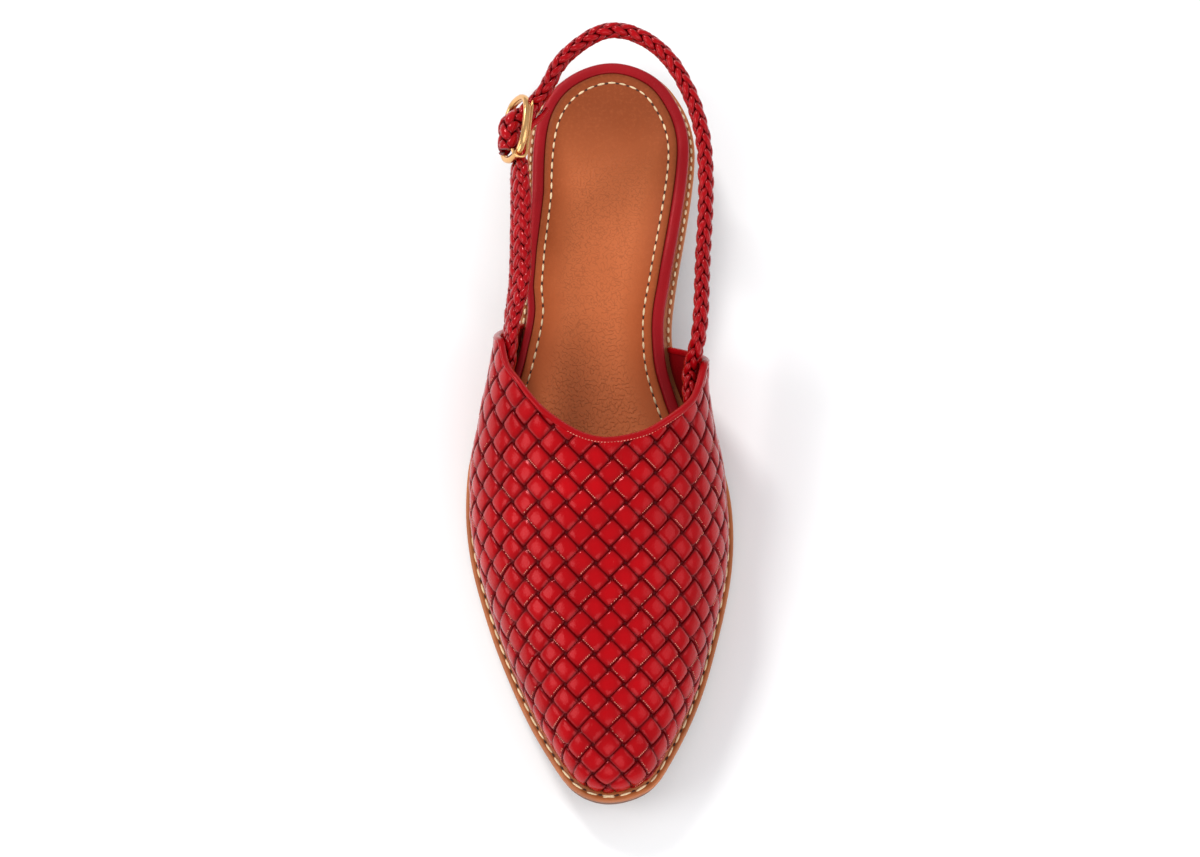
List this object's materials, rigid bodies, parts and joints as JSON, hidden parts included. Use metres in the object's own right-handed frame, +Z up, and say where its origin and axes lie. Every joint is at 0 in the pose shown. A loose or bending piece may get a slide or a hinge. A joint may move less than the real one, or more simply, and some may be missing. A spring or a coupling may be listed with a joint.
{
  "type": "woven slingback loafer",
  "caption": "Right woven leather slingback loafer with closed almond toe, stitched welt, low stacked heel, braided strap and oval buckle.",
  "frame": {"origin": "on the ground under the middle of the shoe's box", "axes": "+Y to the heel, -Y to the toe, +X to the medial side, +Z up"},
  "size_m": [0.0883, 0.258, 0.0672],
  "materials": {
    "upper_leather": "glossy red leather strips",
    "rim_leather": "smooth red leather",
    "insole_leather": "satin cognac leather",
    "welt_leather": "satin tan leather edge",
    "sole_leather": "satin brown leather",
    "heel_stack": "satin stacked leather",
    "buckle_metal": "polished pale gold"
  },
  "bodies": {
    "root": {"heel": "heel_stack", "outsole": "sole_leather", "midsole": "welt_leather", "footbed": "rim_leather", "insole": "insole_leather", "upper": "upper_leather", "sling_strap": "upper_leather", "strap_tab": "upper_leather", "buckle_frame": "buckle_metal", "buckle_prong": "buckle_metal"}
  },
  "joints": []
}
